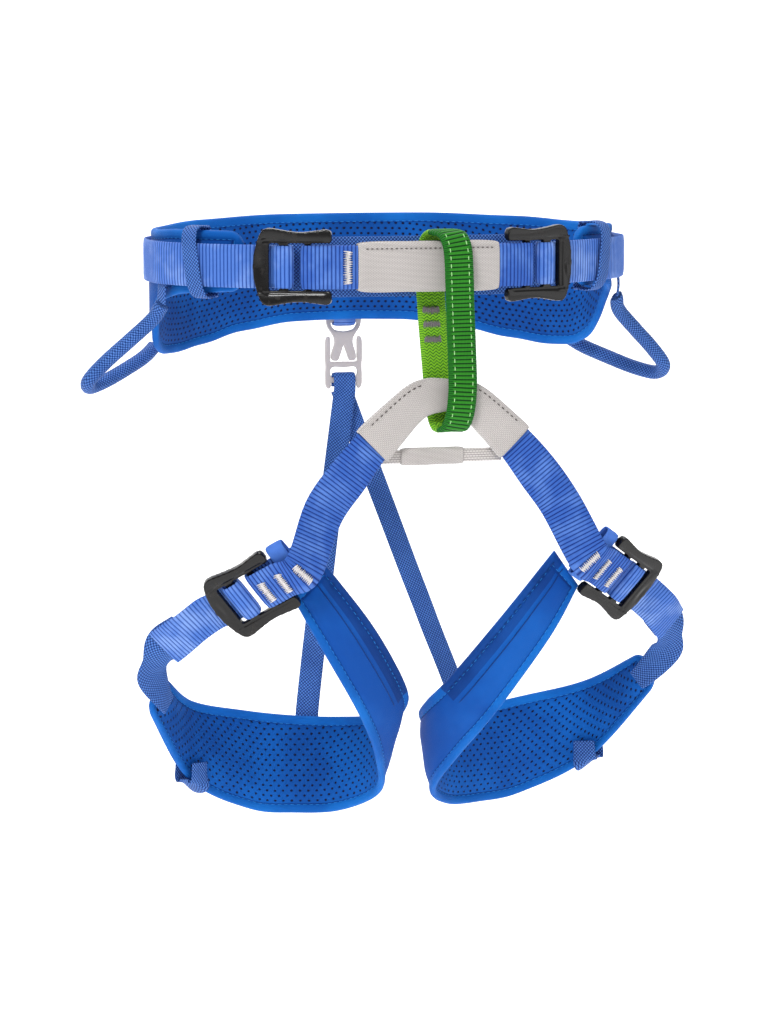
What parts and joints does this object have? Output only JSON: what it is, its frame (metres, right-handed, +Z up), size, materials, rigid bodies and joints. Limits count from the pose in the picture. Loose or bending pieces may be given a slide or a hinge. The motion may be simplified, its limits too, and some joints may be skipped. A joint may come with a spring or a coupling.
{
  "type": "climbing harness",
  "caption": "Sit harness for a child climber: padded waist belt and leg loops, tie-in webbing, belay loop, adjustable buckles, gear loops and elastic rear risers with a release buckle.",
  "frame": {"origin": "centre of the waist opening, 4 mm below the middle of the waist webbing", "axes": "+Z up along the wearer's spine, -Y to the wearer's front where the belay loop hangs, +X to the right of a viewer who faces the front"},
  "size_m": [0.3368, 0.2055, 0.3339],
  "materials": {
    "cover_blue": "smooth woven cover with stitched hems",
    "mesh_blue": "open spacer mesh",
    "foam_grey": "closed-cell foam",
    "webbing_blue": "ribbed webbing",
    "tape_blue": "diamond-woven tape",
    "belay_green": "ribbed webbing in two greens",
    "sleeve_grey": "fine woven protective sleeve",
    "buckle_black": "gloss black coating",
    "plastic_grey": "moulded, satin"
  },
  "bodies": {
    "waist_belt": {"waist_pad_cover": "cover_blue", "waist_pad_foam": "foam_grey", "waist_pad_lining": "mesh_blue", "waist_webbing": "webbing_blue", "tie_in_webbing": "webbing_blue", "tie_in_sleeve": "sleeve_grey", "tie_in_backing": "tape_blue", "rear_buckle_hook": "plastic_grey", "rear_hanger_tape": "webbing_blue", "waist_tail_left": "webbing_blue", "waist_tail_right": "webbing_blue", "waist_keeper_left": "tape_blue", "waist_keeper_right": "tape_blue"},
    "belay_loop": {"belay_loop": "belay_green"},
    "leg_loops": {"leg_bridge_webbing": "webbing_blue", "leg_bridge_sleeve": "sleeve_grey", "leg_crosspiece": "sleeve_grey", "leg_crosspiece_sheath": "sleeve_grey", "leg_pad_cover_left": "cover_blue", "leg_pad_cover_right": "cover_blue", "leg_pad_foam_left": "foam_grey", "leg_pad_foam_right": "foam_grey", "leg_pad_lining_left": "mesh_blue", "leg_pad_lining_right": "mesh_blue", "leg_strap_left": "webbing_blue", "leg_strap_right": "webbing_blue", "leg_tail_left": "webbing_blue", "leg_tail_right": "webbing_blue", "leg_end_loop_left": "tape_blue", "leg_end_loop_right": "tape_blue", "leg_hem_tab_left": "tape_blue", "leg_hem_tab_right": "tape_blue", "leg_keeper_left": "webbing_blue", "leg_keeper_right": "webbing_blue"},
    "risers": {"rear_buckle_catch": "plastic_grey", "riser_left": "tape_blue", "riser_right": "tape_blue"},
    "waist_buckle_left": {"waist_buckle_left": "buckle_black", "waist_strap_wrap_left": "webbing_blue"},
    "waist_buckle_right": {"waist_buckle_right": "buckle_black", "waist_strap_wrap_right": "webbing_blue"},
    "leg_buckle_left": {"leg_buckle_left": "buckle_black", "leg_strap_wrap_left": "webbing_blue"},
    "leg_buckle_right": {"leg_buckle_right": "buckle_black", "leg_strap_wrap_right": "webbing_blue"},
    "gear_loop_left": {"gear_loop_left": "tape_blue"},
    "gear_loop_right": {"gear_loop_right": "tape_blue"}
  },
  "joints": [
    {"name": "belay_swing", "type": "hinge", "parent": "waist_belt", "child": "belay_loop", "pos_m": [0.009, -0.0892, 0.004], "axis": [-1, 0, 0], "range_deg": [0, 10], "stiffness_Nm_per_rad": 1.5, "springref_deg": -20.05},
    {"name": "leg_loops_swing", "type": "hinge", "parent": "belay_loop", "child": "leg_loops", "pos_m": [0.006, -0.098, -0.072], "axis": [-1, 0, 0], "range_deg": [0, 10], "stiffness_Nm_per_rad": 1, "springref_deg": -20.05},
    {"name": "risers_fold", "type": "hinge", "parent": "leg_loops", "child": "risers", "pos_m": [0.006, 0.0173, -0.2904], "axis": [-1, 0, 0], "range_deg": [0, 75]},
    {"name": "waist_buckle_left_tilt", "type": "hinge", "parent": "waist_belt", "child": "waist_buckle_left", "pos_m": [-0.06263, -0.08081, 0.004], "axis": [0, 0, 1], "range_deg": [0, 12]},
    {"name": "waist_buckle_right_tilt", "type": "hinge", "parent": "waist_belt", "child": "waist_buckle_right", "pos_m": [0.05538, -0.0835, 0.004], "axis": [0, 0, -1], "range_deg": [0, 12]},
    {"name": "leg_buckle_left_tilt", "type": "hinge", "parent": "leg_loops", "child": "leg_buckle_left", "pos_m": [-0.0908, -0.0925, -0.1623], "axis": [-0.6148, -0.157, 0.7729], "range_deg": [0, 12]},
    {"name": "leg_buckle_right_tilt", "type": "hinge", "parent": "leg_loops", "child": "leg_buckle_right", "pos_m": [0.1028, -0.0925, -0.1623], "axis": [-0.6148, 0.157, -0.7729], "range_deg": [0, 12]},
    {"name": "gear_loop_left_swing", "type": "hinge", "parent": "waist_belt", "child": "gear_loop_left", "pos_m": [-0.1282, -0.02, -0.0188], "axis": [0.1168, 0.9115, -0.3945], "range_deg": [-8, 35], "stiffness_Nm_per_rad": 0.15},
    {"name": "gear_loop_right_swing", "type": "hinge", "parent": "waist_belt", "child": "gear_loop_right", "pos_m": [0.1282, -0.02, -0.0188], "axis": [0.1168, -0.9115, 0.3945], "range_deg": [-8, 35], "stiffness_Nm_per_rad": 0.15}
  ]
}
